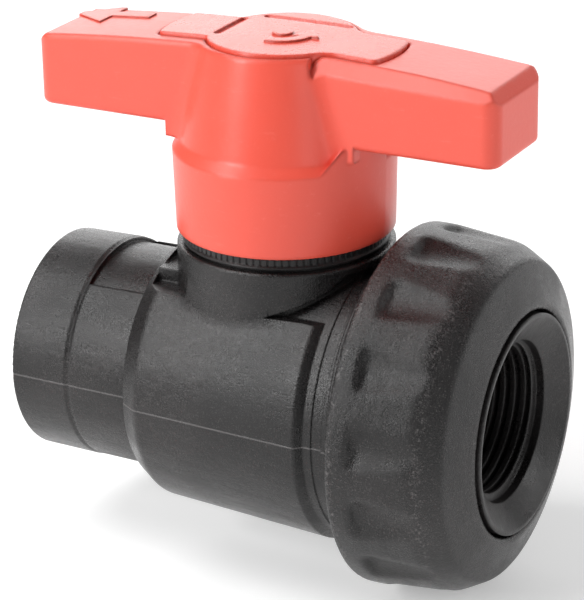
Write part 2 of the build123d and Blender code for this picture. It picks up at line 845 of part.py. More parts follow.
# ---------------------------------------------------------------- handle
# The grip: the bar and the hub are blended as tall plain shapes, then cut to the crowned outline
with BuildSketch(Plane.XZ) as crown_outline:
    with BuildLine():
        ThreePointArc((-bar_half_length, bar_top_end), (0, bar_top_middle), (bar_half_length, bar_top_end))
        Polyline((bar_half_length, bar_top_end), (bar_half_length, bar_bottom),
                 (hub_waist_radius, bar_bottom), (hub_waist_radius, ledge_top),
                 (-hub_waist_radius, ledge_top), (-hub_waist_radius, bar_bottom),
                 (-bar_half_length, bar_bottom), (-bar_half_length, bar_top_end))
    make_face()

hub_slope = (hub_waist_radius - hub_lip_radius) / (bar_top_middle - ledge_top)
tall_bottom = ledge_top - blend_margin
tall_top = bar_top_middle + blend_margin
with BuildPart() as grip:
    revolve(
        profile(
            (0, tall_bottom), (hub_waist_radius + hub_slope * (ledge_top - tall_bottom), tall_bottom),
            (hub_waist_radius + hub_slope * (ledge_top - tall_top), tall_top), (0, tall_top),
        ),
        axis=Axis.Z,
    )
    with BuildSketch(Plane.XY.offset(tall_bottom)):
        RectangleRounded(2 * bar_half_length, 2 * bar_half_width, bar_corner)
    extrude(amount=tall_top - tall_bottom)
    fillet(grip.edges().filter_by(is_blend_seam), hub_blend)
    extrude(crown_outline.sketch, amount=2 * hub_waist_radius, both=True, mode=Mode.INTERSECT)
    top_face = grip.faces().sort_by(Axis.Z)[-1]
    fillet(top_face.edges(), rim_round)
    underside = grip.edges().filter_by_position(Axis.Z, bar_bottom - edge_tolerance,
                                                bar_bottom + edge_tolerance)
    fillet(underside.filter_by(lambda edge: abs(edge.center().X) > hub_waist_radius + 1), lower_round)

# One bevel along a top edge; it is used on opposite edges of the two arms
with BuildPart() as edge_bevel:
    for place, low, high in ((bevel_start, bevel_start_low, bevel_start_high),
                             (bar_half_length + 1, bevel_end_low, bar_top_end)):
        rise = (high - low) / bevel_width
        with BuildSketch(Plane.YZ.offset(place)):
            with BuildLine():
                Polyline((-bar_half_width - 1, low - rise), (-bar_half_width - 1, high + rise),
                         (-bar_half_width + bevel_width + 1, high + rise), close=True)
            make_face()
    loft()

# A scoop in front and one behind take the skirt in to the hub's waist. Each runs out round one side
# and ends against a sloping wall on the other.
with BuildSketch(Plane.XZ) as scoop_side:
    with BuildLine():
        Polyline((-2 * skirt_top_radius, ledge_bottom - 1), (scoop_end, ledge_bottom - 1),
                 (scoop_end, ledge_bottom), (scoop_end + scoop_slope, bar_bottom),
                 (scoop_end + scoop_slope, bar_bottom + 2), (-2 * skirt_top_radius, bar_bottom + 2),
                 close=True)
    make_face()

with BuildPart() as scoop_reach:
    extrude(scoop_side.sketch, amount=2 * skirt_top_radius)
    add(scoop_reach.part.rotate(Axis.Z, half_turn))

with BuildPart() as scoops:
    revolve(
        profile((skirt_top_radius, ledge_bottom), (skirt_top_radius + 2, ledge_bottom),
                (skirt_top_radius + 2, bar_bottom + 1), (hub_waist_radius - 1, bar_bottom + 1),
                (hub_waist_radius, ledge_top)),
        axis=Axis.Z,
    )
    add(scoop_reach.part, mode=Mode.INTERSECT)

with BuildPart() as skirt:
    revolve(
        profile((0, skirt_bottom), (skirt_bottom_radius, skirt_bottom), (skirt_top_radius, ledge_bottom),
                (skirt_top_radius, bar_bottom), (0, bar_bottom), rounds=((1, small_edge),)),
        axis=Axis.Z,
    )
    add(scoops.part, mode=Mode.SUBTRACT)

with BuildSketch() as cap_outline:
    Circle(cap_disc_radius)
    with BuildLine():
        for side in (-1, 1):
            tongue_end = side * (cap_tongue_reach - cap_end_bow)
            Line((tongue_end, -cap_tongue_half_width), (0, -cap_tongue_half_width))
            Line((0, cap_tongue_half_width), (tongue_end, cap_tongue_half_width))
            ThreePointArc((tongue_end, -cap_tongue_half_width), (side * cap_tongue_reach, 0),
                          (tongue_end, cap_tongue_half_width))
    make_face()
    corners = cap_outline.vertices()
    junctions = corners.filter_by(lambda corner: abs(corner.X) < cap_disc_radius)
    fillet(junctions.filter_by(lambda corner: corner.X < 0), cap_blend_left)
    junctions = cap_outline.vertices().filter_by(lambda corner: 0 < corner.X < cap_disc_radius)
    fillet(junctions, cap_blend_right)
    tips = cap_outline.vertices().filter_by(lambda corner: abs(corner.X) > cap_tongue_reach - 2)
    fillet(tips, cap_corner)

with BuildPart() as handle:
    add(grip.part)
    add(edge_bevel.part, mode=Mode.SUBTRACT)
    add(edge_bevel.part.rotate(Axis.Z, half_turn), mode=Mode.SUBTRACT)
    with BuildSketch(Plane.XZ):
        with BuildLine():
            Polyline((bar_half_length + 1, bar_top_end - end_bevel - 1),
                     (bar_half_length + 1, bar_top_end + 1),
                     (bar_half_length - end_bevel - 1, bar_top_end + 1), close=True)
        make_face()
        mirror(about=Plane.YZ)
    extrude(amount=2 * bar_half_width, both=True, mode=Mode.SUBTRACT)
    add(skirt.part)
    # Hollow under the hub, with two lugs down the skirt and a sleeve for the stem
    with BuildSketch(Plane.XY.offset(skirt_bottom)):
        Circle(skirt_inner)
    extrude(amount=hub_web_bottom - skirt_bottom, mode=Mode.SUBTRACT)
    for lug_middle in (lug_rest_angle, lug_rest_angle + half_turn):
        lug = sector(lug_inner_radius, skirt_inner + 1, lug_middle, lug_angle)
        extrude(Plane.XY.offset(stop_ring_top + lug_floor_gap) * lug,
                amount=hub_web_bottom - stop_ring_top - lug_floor_gap)
    with BuildSketch(Plane.XY.offset(drive_bottom + drive_head_room)):
        Circle(sleeve_radius)
    extrude(amount=hub_web_bottom - drive_bottom)
    with BuildSketch(Plane.XY.offset(drive_bottom)):
        Rectangle(drive_width + 2 * drive_clearance, drive_width + 2 * drive_clearance)
    extrude(amount=drive_top + drive_head_room - drive_bottom, mode=Mode.SUBTRACT)
    # The arms are cored from below, with one rib across each
    for side in (-1, 1):
        for near, far in ((bar_core_start, bar_rib_place - bar_rib_thickness / 2),
                          (bar_rib_place + bar_rib_thickness / 2, bar_half_length - bar_wall)):
            with BuildSketch(Plane.XY.offset(bar_bottom - 1)):
                with Locations((side * (near + far) / 2, 0)):
                    RectangleRounded(far - near, 2 * (bar_half_width - bar_wall), 1.0)
            extrude(amount=bar_core_top - bar_bottom + 1, mode=Mode.SUBTRACT)
    # Cap pocket, screw well and the holes for the cap's legs
    with BuildSketch(Plane.XY.offset(cap_floor)):
        offset(cap_outline.sketch, amount=cap_gap)
    extrude(amount=cap_pocket_depth + 2, mode=Mode.SUBTRACT)
    with BuildSketch(Plane.XY.offset(screw_floor)):
        Circle(screw_well_radius)
    extrude(amount=cap_floor - screw_floor + 1, mode=Mode.SUBTRACT)
    with BuildSketch(Plane.XY.offset(drive_top)):
        Circle(screw_radius + screw_hole_clearance)
    extrude(amount=screw_floor - drive_top + 1, mode=Mode.SUBTRACT)
    with BuildSketch(Plane.XY.offset(cap_floor - leg_length - leg_head_room)):
        with Locations((0, leg_place), (0, -leg_place)):
            Circle(leg_radius + leg_clearance)
    extrude(amount=leg_length + 1, mode=Mode.SUBTRACT)

# Raised arrow on one arm
arrow_tip = arrow_end_gap - bar_half_length
arrow_neck = arrow_tip + arrow_head_length
arrow_tail = arrow_tip + arrow_length
with BuildPart() as arrow:
    extrude(crown(arrow_height, bar_bottom), amount=bar_half_width, both=True)
    with BuildSketch(Plane.XY.offset(bar_core_top + 1)):
        with BuildLine():
            Polyline(
                (arrow_tail, arrow_place - arrow_shaft_half), (arrow_neck, arrow_place - arrow_shaft_half),
                (arrow_neck, arrow_place - arrow_head_half), (arrow_tip, arrow_place - arrow_margin),
                (arrow_tip, arrow_place + arrow_margin),
                (arrow_neck - arrow_head_half + arrow_head_far, arrow_place + arrow_head_far),
                (arrow_neck, arrow_place + arrow_head_far),
                (arrow_neck, arrow_place + arrow_shaft_half), (arrow_tail, arrow_place + arrow_shaft_half),
                close=True,
            )
        make_face()
    extrude(amount=bar_top_middle, mode=Mode.INTERSECT)

with BuildPart() as finished_handle:
    add(handle.part)
    add(arrow.part)
finished_handle.part.label = "handle"
export_step(finished_handle.part, "parts/handle.step")

# ---------------------------------------------------------------- handle cap
with BuildPart() as handle_cap:
    extrude(crown(cap_proud, cap_underside), amount=cap_disc_radius + 1, both=True)
    with BuildSketch(Plane.XY.offset(cap_underside)):
        add(cap_outline.sketch)
    extrude(amount=cap_pocket_depth + 2, mode=Mode.INTERSECT)
    crown_face = handle_cap.faces().sort_by(Axis.Z)[-1]
    fillet(crown_face.edges(), small_edge)
    with BuildSketch(Plane.XY.offset(cap_underside)):
        offset(cap_outline.sketch, amount=-cap_wall)
    extrude(amount=cap_top_middle - cap_thickness - cap_crown_drop - cap_underside, mode=Mode.SUBTRACT)
    with BuildSketch(Plane.XY.offset(cap_underside - leg_length)):
        with Locations((0, leg_place), (0, -leg_place)):
            Circle(leg_radius)
    extrude(amount=leg_length + cap_thickness)
    # Engraved corner line, in two slots
    with BuildSketch(Plane.XY.offset(cap_top_middle - groove_depth)):
        with Locations((line_side_place, line_side_middle)):
            SlotOverall(line_side_length, groove_width, rotation=quarter_turn)
        with Locations((line_top_middle, line_top_place)):
            SlotOverall(line_top_length, groove_width)
    extrude(amount=2, mode=Mode.SUBTRACT)
    # Raised emblem: a quarter-turn arrow round a dot
    with BuildSketch(Plane.XY.offset(cap_top_middle - groove_depth)):
        Circle(emblem_dot_radius)
        add(sector(emblem_inner, emblem_outer, emblem_arc_middle, quarter_turn))
        with PolarLocations((emblem_inner + emblem_outer) / 2, 1,
                            emblem_arc_middle + quarter_turn / 2 + emblem_head_turn):
            RegularPolygon(emblem_head_radius, 3, rotation=quarter_turn)
    extrude(amount=groove_depth + emblem_height)
handle_cap.part.label = "handle_cap"
export_step(handle_cap.part, "parts/handle_cap.step")

# ---------------------------------------------------------------- handle screw and its washer
washer_top = screw_floor + washer_thickness
with BuildPart() as handle_screw_washer:
    with BuildSketch(Plane.XY.offset(screw_floor)):
        Circle(washer_radius)
        Circle(screw_radius + screw_hole_clearance, mode=Mode.SUBTRACT)
    extrude(amount=washer_thickness)
handle_screw_washer.part.label = "handle_screw_washer"
export_step(handle_screw_washer.part, "parts/handle_screw_washer.step")

with BuildPart() as handle_screw:
    screw_head_top = washer_top + screw_head_height
    revolve(
        profile((0, washer_top - screw_length), (screw_radius, washer_top - screw_length),
                (screw_radius, washer_top), (screw_head_radius, washer_top),
                (screw_head_radius, screw_head_top), (0, screw_head_top),
                rounds=((1, screw_tip_round), (4, small_edge))),
        axis=Axis.Z,
    )
    with BuildSketch(Plane.XY.offset(screw_head_top)):
        RegularPolygon(screw_drive_width / 2, 6, major_radius=False)
    extrude(amount=-screw_drive_depth, mode=Mode.SUBTRACT)
handle_screw.part.label = "handle_screw"
export_step(handle_screw.part, "parts/handle_screw.step")
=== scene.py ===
# %% [markdown]
# # A plastic seacock valve
#
# This lesson dresses a quarter-turn ball valve: a black glass-filled body, a scalloped union nut
# and a coral red lever handle. The shapes come from a imported CAD model, so most of the work here
# is in the finishes. Moulded plastic looks simple, but a flat colour looks like a toy. What
# sells it is small: a grain that catches the light, soft flow marks, dust, and rubbed edges with a
# painted highlight.

from math import cos, pi, radians, sin

import bmesh
import bpy
from mathutils import Matrix, Vector


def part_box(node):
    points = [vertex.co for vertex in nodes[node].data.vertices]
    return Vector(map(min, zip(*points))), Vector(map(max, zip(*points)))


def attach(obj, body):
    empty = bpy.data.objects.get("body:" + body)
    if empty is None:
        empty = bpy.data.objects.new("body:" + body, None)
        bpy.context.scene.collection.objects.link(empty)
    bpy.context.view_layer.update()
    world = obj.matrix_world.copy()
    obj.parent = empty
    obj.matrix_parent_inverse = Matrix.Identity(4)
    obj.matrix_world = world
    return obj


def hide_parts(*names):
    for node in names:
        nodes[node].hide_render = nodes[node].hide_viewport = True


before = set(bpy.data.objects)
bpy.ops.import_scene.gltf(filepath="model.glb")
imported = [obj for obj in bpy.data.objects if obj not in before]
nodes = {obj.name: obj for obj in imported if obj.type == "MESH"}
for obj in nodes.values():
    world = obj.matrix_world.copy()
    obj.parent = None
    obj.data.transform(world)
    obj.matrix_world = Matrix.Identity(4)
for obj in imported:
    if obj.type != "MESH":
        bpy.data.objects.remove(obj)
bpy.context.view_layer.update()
MM = 0.001
nut_low, nut_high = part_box("union_nut")
body_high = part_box("valve_body")[1]
print("parts in the frame:", len(nodes))

# %% [markdown]
# ## Shader arithmetic
#
# A finish is mostly sums: grain plus flow marks, times a mask. Adding a Math node by hand for
# each sum hides the idea, so a small class wraps an output socket and lets Python's own
# operators add the nodes. `1 - mask` works too, because the reflected forms are there.


# %% A value that varies over a surface
class Varying:
    """One output socket of a material's node tree, with arithmetic."""

    def __init__(self, tree, socket):
        self.tree = tree
        self.socket = socket

    def maths(self, operation, *others, first=None):
        """A Math node on this value; first puts a number before it."""
        node = self.tree.nodes.new("ShaderNodeMath")
        node.operation = operation
        values = [self, *others] if first is None else [first, self]
        for slot, value in zip(node.inputs, values):
            if isinstance(value, Varying):
                self.tree.links.new(value.socket, slot)
            else:
                slot.default_value = value
        return Varying(self.tree, node.outputs[0])

    def __add__(self, other):
        return self.maths("ADD", other)

    def __radd__(self, other):
        return self.maths("ADD", first=other)

    def __sub__(self, other):
        return self.maths("SUBTRACT", other)

    def __rsub__(self, other):
        return self.maths("SUBTRACT", first=other)

    def __mul__(self, other):
        return self.maths("MULTIPLY", other)

    def __rmul__(self, other):
        return self.maths("MULTIPLY", first=other)

    def __pow__(self, other):
        return self.maths("POWER", other)

    def __abs__(self):
        return self.maths("ABSOLUTE")

    def step(self, low, high):
        """0 below low and 1 above high, with a smooth ramp between."""
        node = self.tree.nodes.new("ShaderNodeMapRange")
        node.interpolation_type = "SMOOTHSTEP"
        self.tree.links.new(self.socket, node.inputs["Value"])
        node.inputs["From Min"].default_value = low
        node.inputs["From Max"].default_value = high
        return Varying(self.tree, node.outputs["Result"])


print("shader arithmetic is ready")

# %% [markdown]
# A finish is a Principled BSDF with a few fixed numbers and some sockets that vary. One method
# adds any other node: its settings are set first, then its inputs are linked or filled in. All
# patterns read Object coordinates, so their scale is real: a noise scale of 1000 has features
# of about a millimetre.


# %% A finish
class Finish:
    """A material built round one Principled BSDF."""

    def __init__(self, name, **fixed):
        self.material = bpy.data.materials.new(name)
        self.material.use_nodes = True
        self.tree = self.material.node_tree
        self.shader = self.tree.nodes["Principled BSDF"]
        for socket_name, value in fixed.items():
            self.shader.inputs[socket_name.replace("_", " ")].default_value = value
        self.place = self.node("ShaderNodeTexCoord", output="Object")

    def node(self, kind, settings=None, inputs=None, output=0):
        """Any node: its settings, then its inputs; gives one of its outputs."""
        node = self.tree.nodes.new(kind)
        for setting, value in (settings or {}).items():
            setattr(node, setting, value)
        for slot, value in (inputs or {}).items():
            if isinstance(value, Varying):
                self.tree.links.new(value.socket, node.inputs[slot])
            else:
                node.inputs[slot].default_value = value
        return Varying(self.tree, node.outputs[output])

    def noise(self, scale, detail=3.0, roughness=0.55, stretch=(1, 1, 1), shift=(0, 0, 0)):
        """A noise pattern of about 0 to 1; stretch squeezes it along each axis."""
        place = self.node("ShaderNodeMapping", None,
                          {"Vector": self.place, "Scale": stretch, "Location": shift})
        return self.node("ShaderNodeTexNoise", None,
                         {"Vector": place, "Scale": scale, "Detail": detail, "Roughness": roughness})

    def cells(self, scale):
        """Distance to the nearest of many scattered points."""
        return self.node("ShaderNodeTexVoronoi", {"feature": "F1"},
                         {"Vector": self.place, "Scale": scale})

    def axis(self, letter):
        """One coordinate of the place on the object, in metres."""
        return self.node("ShaderNodeSeparateXYZ", None, {"Vector": self.place}, output=letter)

    def blend(self, factor, first, second):
        """A mix of two colours."""
        node = self.tree.nodes.new("ShaderNodeMix")
        node.data_type = "RGBA"
        slots = [slot for slot in node.inputs if slot.type == "RGBA"]
        factor_slot = next(slot for slot in node.inputs if slot.type == "VALUE" and slot.enabled)
        self.tree.links.new(factor.socket, factor_slot)
        for slot, colour in zip(slots, (first, second)):
            if isinstance(colour, Varying):
                self.tree.links.new(colour.socket, slot)
            else:
                slot.default_value = (*colour, 1)
        colours = [socket for socket in node.outputs if socket.type == "RGBA"]
        return Varying(self.tree, colours[0])

    def set(self, socket_name, value):
        """Links a varying value to one of the shader's sockets."""
        self.tree.links.new(value.socket, self.shader.inputs[socket_name])

    def bump(self, edge, *layers):
        """Rounds sharp edges by edge metres, then adds height maps.

        Each layer is a height map, its strength and its height in metres.
        """
        normal = self.node("ShaderNodeBevel", {"samples": 4}, {"Radius": edge})
        for height, strength, distance in layers:
            normal = self.node("ShaderNodeBump", None, {"Height": height, "Strength": strength,
                                                        "Distance": distance, "Normal": normal})
        self.set("Normal", normal)


def dress(finish, *names):
    """Gives CAD parts a finish."""
    for name in names:
        slots = nodes[name].data.materials
        slots.clear()
        slots.append(finish.material)


print("finishes can be made")

# %% [markdown]
# ## Glass-filled black plastic
#
# The body and the nut are nylon with short glass fibres. The fibres reach the surface as a fine,
# bright speckle, and the melt leaves cloudy flow marks in the gloss. Three patterns shape the
# bump: a fibre grain near a third of a millimetre, an orange peel near a millimetre, and flow
# marks near ten. The colour stays very dark, and the same fibres lighten it, with flecks, scuffs
# and a mottle that gather in broader clouds. A noise scale counts features in a metre.


# %% Black tones, scales, and wear with a painted highlight
deep_black = (0.0040, 0.0036, 0.0038)
lifted_black = (0.0115, 0.0100, 0.0102)
fibre_tone = (0.095, 0.086, 0.084)
fleck_tone = (0.30, 0.29, 0.28)
scuff_tone = (0.085, 0.080, 0.080)
# The worn tone is rubbed wear with a painted highlight, for rings where the nut's edges catch the
# light.
worn_highlight_tone = (0.13, 0.12, 0.12)
mottle_tone = (0.075, 0.068, 0.066)
# The seam tone is a painted highlight: the parting line's ridge painted lighter.
seam_highlight_tone = (0.16, 0.15, 0.15)

fibre_scale = 3300
peel_scale = 900
flow_scale = 95
cloud_scale = 38
fleck_scale = 1500
fleck_group_scale = 420
scuff_scale = 700
mottle_scale = 1300

worn_highlight_core = 0.2 * MM
worn_highlight_reach = 1.5 * MM
seam_core = 0.06 * MM
seam_reach = 0.24 * MM
seam_height = 0.10 * MM
# Places along X of lighter rings on the nut: rubbed wear, and a painted highlight on the edges there.
nut_back_ring = nut_low.x + 0.9 * MM
nut_shoulder_ring = nut_high.x - 7.5 * MM
print("worn rings at", round(nut_back_ring / MM, 1), "and", round(nut_shoulder_ring / MM, 1), "mm")


# %% Black plastic
def black_plastic(name, grain=1.0, sheen=0.36, flow=(1, 1, 1), parting_line=False, edge=0.5 * MM,
                  rubbed_highlight_rings=()):
    """Satin glass-filled nylon.

    grain is how strongly its fibres show; the rubbed places along X get lighter rings, worn and
    painted with a highlight.
    """
    finish = Finish(name, IOR=1.46)
    fibres = finish.noise(fibre_scale, detail=2.0, roughness=0.7)
    peel = finish.noise(peel_scale, detail=3.0)
    flow_marks = finish.noise(flow_scale, detail=4.0, roughness=0.62, stretch=flow)
    clouds = finish.noise(cloud_scale, detail=3.0, shift=(0.3, 0.1, 0.7))
    fleck_groups = finish.noise(fleck_group_scale).step(0.56, 0.70)
    flecks = finish.cells(fleck_scale).step(0.12, 0.04) * fleck_groups
    scuffs = finish.noise(scuff_scale, detail=5.0, roughness=0.75, stretch=(0.25, 1, 1))
    scuffs = scuffs.step(0.62, 0.74) * clouds.step(0.48, 0.66)
    mottle = finish.noise(mottle_scale, detail=4.0, roughness=0.75).step(0.50, 0.68)

    tone = finish.blend(clouds.step(0.35, 0.65), deep_black, lifted_black)
    tone = finish.blend(fibres.step(0.54, 0.74) * (0.7 * grain), tone, fibre_tone)
    tone = finish.blend(flecks * (0.5 * grain), tone, fleck_tone)
    tone = finish.blend(scuffs * 0.5, tone, scuff_tone)
    # Lighter rings at the rubbed places: worn plastic with a painted highlight where the edges catch
    # the light.
    for place in rubbed_highlight_rings:
        worn_highlight = (1 - abs(finish.axis("X") - place).step(worn_highlight_core, worn_highlight_reach)) * mottle
        tone = finish.blend(worn_highlight * 0.7, tone, worn_highlight_tone)
    tone = finish.blend(mottle * clouds.step(0.46, 0.60) * (0.45 * grain), tone, mottle_tone)

    rough = sheen + (flow_marks - 0.5) * 0.60 + (fibres - 0.5) * (0.35 * grain) + scuffs * 0.12
    finish.set("Roughness", rough)
    layers = [
        (flow_marks, 0.40, 0.8 * MM),
        (peel, 0.30 * grain, 0.16 * MM),
        (fibres, 0.95 * grain, 0.16 * MM),
    ]
    if parting_line:
        seam = 1 - abs(finish.axis("Z")).step(seam_core, seam_reach)
        layers.append((seam, 0.6, seam_height))
        # The parting line is also painted lighter, a painted highlight along its ridge.
        tone = finish.blend(seam * 0.5, tone, seam_highlight_tone)
    finish.set("Base Color", tone)
    finish.bump(edge, *layers)
    return finish


body_finish = black_plastic("body glass-filled", grain=0.7, sheen=0.27, flow=(0.5, 1.2, 1.2),
                            parting_line=True)
nut_finish = black_plastic("nut glass-filled", grain=1.0, sheen=0.28, flow=(1.4, 0.7, 0.7),
                           rubbed_highlight_rings=(nut_back_ring, nut_shoulder_ring))
tail_finish = black_plastic("tail glass-filled", grain=0.55, sheen=0.34)
trim_finish = black_plastic("ring glass-filled", grain=0.4, sheen=0.42)
dress(body_finish, "valve_body")
dress(nut_finish, "union_nut")
dress(tail_finish, "union_tail")
dress(trim_finish, "stop_ring")
print("black plastics: 4")

# %% [markdown]
# ## Coral red plastic
#
# The handle is an unfilled, glossier plastic with a little light scattered inside it, so its
# shadows stay warm. Its colour is even. The wear is in the gloss: a faint orange peel, fine
# rub marks along the bar where hands turn it, and a slightly paler bloom.


# %% Red plastic
def red_plastic(name, sheen=0.33, rub_direction=(0.18, 1, 1)):
    """Satin red moulded plastic with hand wear."""
    finish = Finish(name, IOR=1.49, Subsurface_Weight=0.06, Subsurface_Scale=0.002,
                    Subsurface_Radius=(1.0, 0.35, 0.25))
    clouds = finish.noise(45, detail=3.0)
    peel = finish.noise(850, detail=2.0)
    fine = finish.noise(2800, detail=2.0)
    rubs = finish.noise(620, detail=4.0, roughness=0.7, stretch=rub_direction).step(0.60, 0.76)
    tone = finish.blend(clouds, (0.735, 0.078, 0.048), (0.775, 0.094, 0.060))
    tone = finish.blend(fine.step(0.60, 0.80) * 0.25, tone, (0.86, 0.16, 0.12))
    tone = finish.blend(rubs * 0.18, tone, (0.90, 0.26, 0.21))
    finish.set("Base Color", tone)
    finish.set("Roughness", sheen + (clouds - 0.5) * 0.14 + rubs * 0.10 + (peel - 0.5) * 0.08)
    finish.bump(1.2 * MM, (clouds, 0.15, 0.5 * MM), (peel, 0.30, 0.08 * MM), (fine, 0.25, 0.03 * MM))
    return finish


dress(red_plastic("handle coral"), "handle")
dress(red_plastic("cap coral", sheen=0.27, rub_direction=(1, 0.3, 1)), "handle_cap")
print("red plastics: 2")

# %% [markdown]
# ## The hidden parts
#
# Turning the handle or unscrewing the union shows the ball, the white seats and the seals. The
# ball is polished across its whole face, with hair-thin turning lines about the waterway. PTFE
# is waxy: bright, soft, and never shiny. Rubber is the opposite of the nylon, dark with a
# dusty bloom.


# %% Ball, seats, bush and seals
def turned_plastic(name, colour, sheen, line_pitch, axis_letter):
    """A lathe-cut plastic: fine rings at a real pitch along an axis."""
    finish = Finish(name, IOR=1.50)
    clouds = finish.noise(60, detail=3.0)
    rings = finish.axis(axis_letter) * (2 * pi / line_pitch)
    rings = rings.maths("SINE") * 0.5 + 0.5
    darker = tuple(0.82 * part for part in colour)
    finish.set("Base Color", finish.blend(clouds, darker, colour))
    finish.set("Roughness", sheen + (clouds - 0.5) * 0.12 + rings * 0.05)
    finish.bump(0.15 * MM, (rings, 0.25, 0.01 * MM), (finish.noise(1500), 0.15, 0.02 * MM))
    return finish


def rubber(name):
    """Matt nitrile with a dusty bloom."""
    finish = Finish(name, IOR=1.52)
    bloom = finish.noise(240, detail=5.0, roughness=0.7)
    clean, dusty = (0.010, 0.010, 0.011), (0.045, 0.043, 0.042)
    finish.set("Base Color", finish.blend(bloom.step(0.45, 0.75), clean, dusty))
    finish.set("Roughness", 0.62 + (bloom - 0.5) * 0.3)
    finish.bump(0.1 * MM, (finish.noise(2200), 0.3, 0.03 * MM), (bloom, 0.2, 0.08 * MM))
    return finish


dress(turned_plastic("ball polished", (0.055, 0.055, 0.06), 0.14, 0.25 * MM, "X"), "ball")
dress(turned_plastic("stem turned", (0.05, 0.05, 0.055), 0.34, 0.20 * MM, "Z"), "stem")
dress(turned_plastic("bush acetal", (0.62, 0.58, 0.50), 0.36, 0.30 * MM, "Z"), "stem_bush")
ptfe = turned_plastic("seat PTFE", (0.86, 0.86, 0.83), 0.46, 0.35 * MM, "X")
dress(ptfe, "inlet_seat", "outlet_seat", "stem_thrust_washer")
dress(rubber("seal nitrile"), "inlet_seat_o_ring", "outlet_seat_o_ring", "stem_o_ring_lower",
      "stem_o_ring_upper", "tail_o_ring", "union_face_o_ring")
print("inner finishes: 5")


# %% Stainless screw and washer
scratch_pitch = 0.22 * MM


def stainless(name):
    """Brushed stainless steel: rings of fine scratches about the stem axis."""
    finish = Finish(name, Metallic=1.0)
    reach = finish.axis("X") ** 2 + finish.axis("Y") ** 2
    rings = ((reach ** 0.5) * (2 * pi / scratch_pitch)).maths("SINE") * 0.5 + 0.5
    smear = finish.noise(500, detail=4.0)
    finish.set("Base Color", finish.blend(smear, (0.50, 0.49, 0.47), (0.66, 0.65, 0.62)))
    finish.set("Roughness", 0.24 + smear * 0.16 + rings * 0.06)
    finish.bump(0.15 * MM, (rings, 0.25, 0.01 * MM), (smear, 0.1, 0.03 * MM))
    return finish


dress(stainless("screw stainless"), "handle_screw", "handle_screw_washer")
print("metals: 1")

# %% [markdown]
# ## A softer nut
#
# The grip flutes of a moulded nut have no sharp edge anywhere: the tool's corners were rounded
# and the melt shrank away from them. The frame's flutes are plain scallops. Here a copy of the
# nut is remeshed to an even skin and relaxed with `smooth_vert`, which rounds what is sharp and
# leaves what is already smooth. Most passes touch only the outer band of the nut, forward of its
# back edge. One last pass over the whole skin takes away the small steps that the remesh leaves.


# %% Relax the flutes
def merged_copy(name, new_name):
    """A copy of a CAD part as one connected mesh."""
    work = bmesh.new()
    work.from_mesh(nodes[name].data)
    bmesh.ops.remove_doubles(work, verts=work.verts, dist=0.002 * MM)
    mesh = bpy.data.meshes.new(new_name)
    work.to_mesh(mesh)
    work.free()
    return mesh


def even_skin(mesh, voxel):
    """The same shape as an even grid of faces."""
    holder = bpy.data.objects.new("skin", mesh)
    bpy.context.scene.collection.objects.link(holder)
    remesh = holder.modifiers.new("even", "REMESH")
    remesh.mode = "VOXEL"
    remesh.voxel_size = voxel
    view = bpy.context.evaluated_depsgraph_get()
    skin = bpy.data.meshes.new_from_object(holder.evaluated_get(view))
    bpy.data.objects.remove(holder)
    return skin


def relax(work, verts, passes):
    """Moves each vertex half way to the middle of its neighbours, some times over."""
    for _ in range(passes):
        bmesh.ops.smooth_vert(work, verts=verts, factor=0.5, use_axis_x=True, use_axis_y=True,
                              use_axis_z=True)


skin_voxel = 0.55 * MM
flute_band = 2.6 * MM
back_edge_kept = 1.2 * MM
flute_passes = 8

nut_skin = even_skin(merged_copy("union_nut", "union_nut_copy"), skin_voxel)
nut_work = bmesh.new()
nut_work.from_mesh(nut_skin)
flutes = [vert for vert in nut_work.verts
          if Vector(vert.co.yz).length > nut_high.z - flute_band
          and vert.co.x > nut_low.x + back_edge_kept]
relax(nut_work, flutes, flute_passes)
relax(nut_work, nut_work.verts, 1)
print("nut skin:", len(nut_work.faces), "faces, and", len(flutes), "vertices relaxed as flutes")

# %% [markdown]
# ## The union thread
#
# The frame keeps the union's spigot and bore plain. The ridges are a looks job: one trapezium,
# spun about the pipe axis while it climbs one pitch a turn. `bmesh.ops.spin` takes that climb as
# `dvec`, the shift of each step. Each ridge counts its lag from its own start, and the two
# starts aren't a whole number of pitches apart. So the nut's lag of half a pitch doesn't place
# it between the body's turns: at rest the two ridges cross inside the closed nut, out of sight.


# %% A helical ridge
def make_piece(name, mesh_work, finish, body):
    """Turns a bmesh into an object that rides on a body."""
    bmesh.ops.recalc_face_normals(mesh_work, faces=mesh_work.faces)
    for face in mesh_work.faces:
        face.smooth = True
    mesh = bpy.data.meshes.new(name)
    mesh_work.to_mesh(mesh)
    mesh_work.free()
    mesh.materials.append(finish.material)
    piece = bpy.data.objects.new(name, mesh)
    bpy.context.scene.collection.objects.link(piece)
    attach(piece, body)
    return piece


spin_steps_a_turn = 64
union_pitch = 4 * MM
thread_crest = 31.6 * MM
thread_root = 30.0 * MM
root_sink = 0.1 * MM
nut_root_gap = 0.35 * MM
nut_crest_gap = 0.3 * MM
spigot_thread_reach = 17.8 * MM
spigot_end_bare = 0.6 * MM
nut_mouth_bare = 1.4 * MM
nut_thread_short = 1.0 * MM


